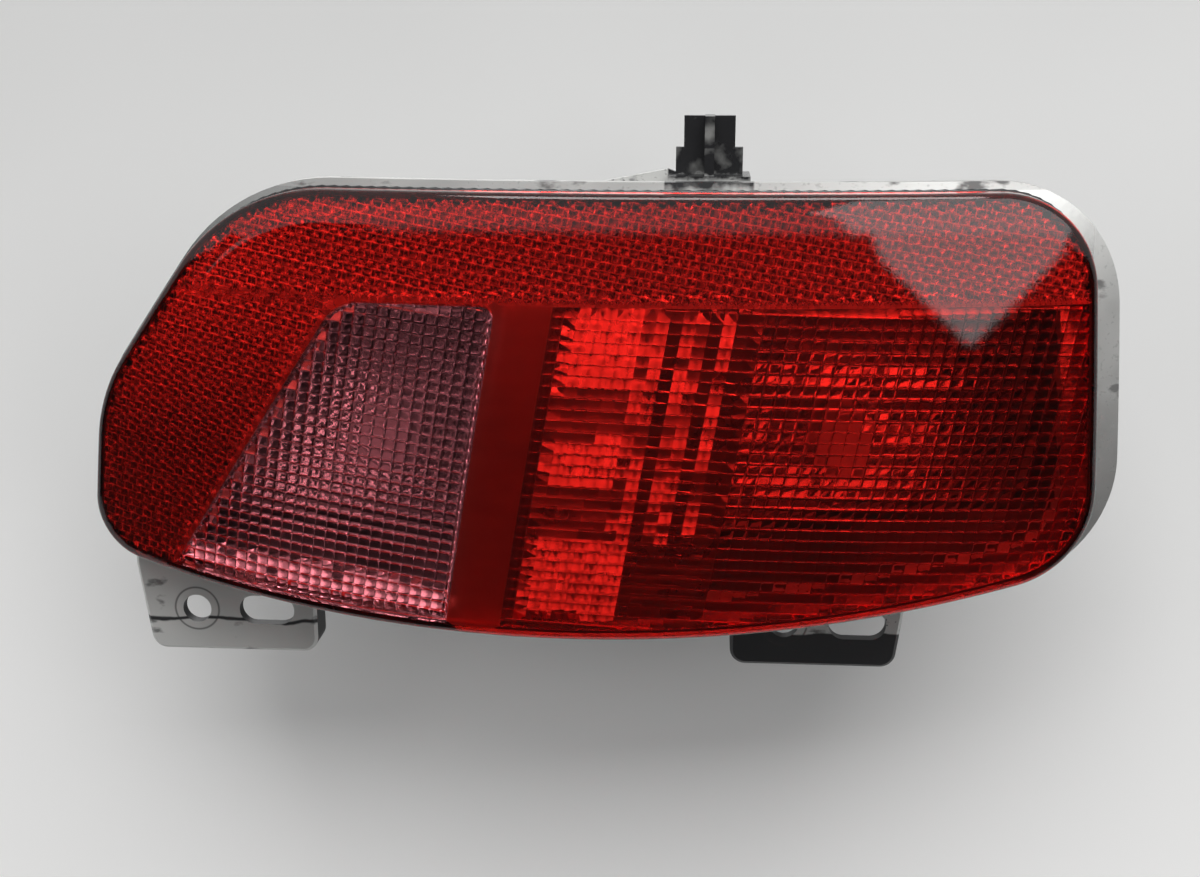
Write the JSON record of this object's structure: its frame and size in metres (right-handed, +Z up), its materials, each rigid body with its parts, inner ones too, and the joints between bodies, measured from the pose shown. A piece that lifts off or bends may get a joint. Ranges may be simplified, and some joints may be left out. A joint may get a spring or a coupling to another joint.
{
  "type": "rear bumper lamp",
  "caption": "Rear bumper lamp: domed red lens with reflex field, fog and reversing windows on a metallised housing with slotted brackets, a cross peg and twist-in bulb holders.",
  "frame": {"origin": "midway between the two bracket screw holes, on the front face of the brackets", "axes": "+X along the bumper to the right of someone who looks at the lens, +Z up as fitted, lens facing -Y"},
  "size_m": [0.2498, 0.1042, 0.1386],
  "materials": {
    "red_lens": "polished red acrylic",
    "clear_lens": "polished pale pink acrylic",
    "housing": "black moulding, metallised on its front",
    "bulb_glass": "clear",
    "holder": "moulded grain",
    "contact": "tinned",
    "seal": "matt"
  },
  "bodies": {
    "root": {"red_lens": "red_lens", "reversing_lens": "clear_lens", "housing": "housing", "fog_bulb": "bulb_glass", "reversing_bulb": "bulb_glass", "fog_bulb_holder": "holder", "reversing_bulb_holder": "holder", "fog_contact_spring": "contact", "reversing_contact_spring": "contact", "fog_terminals": "contact", "reversing_terminals": "contact", "holder_seals": "seal"}
  },
  "joints": []
}
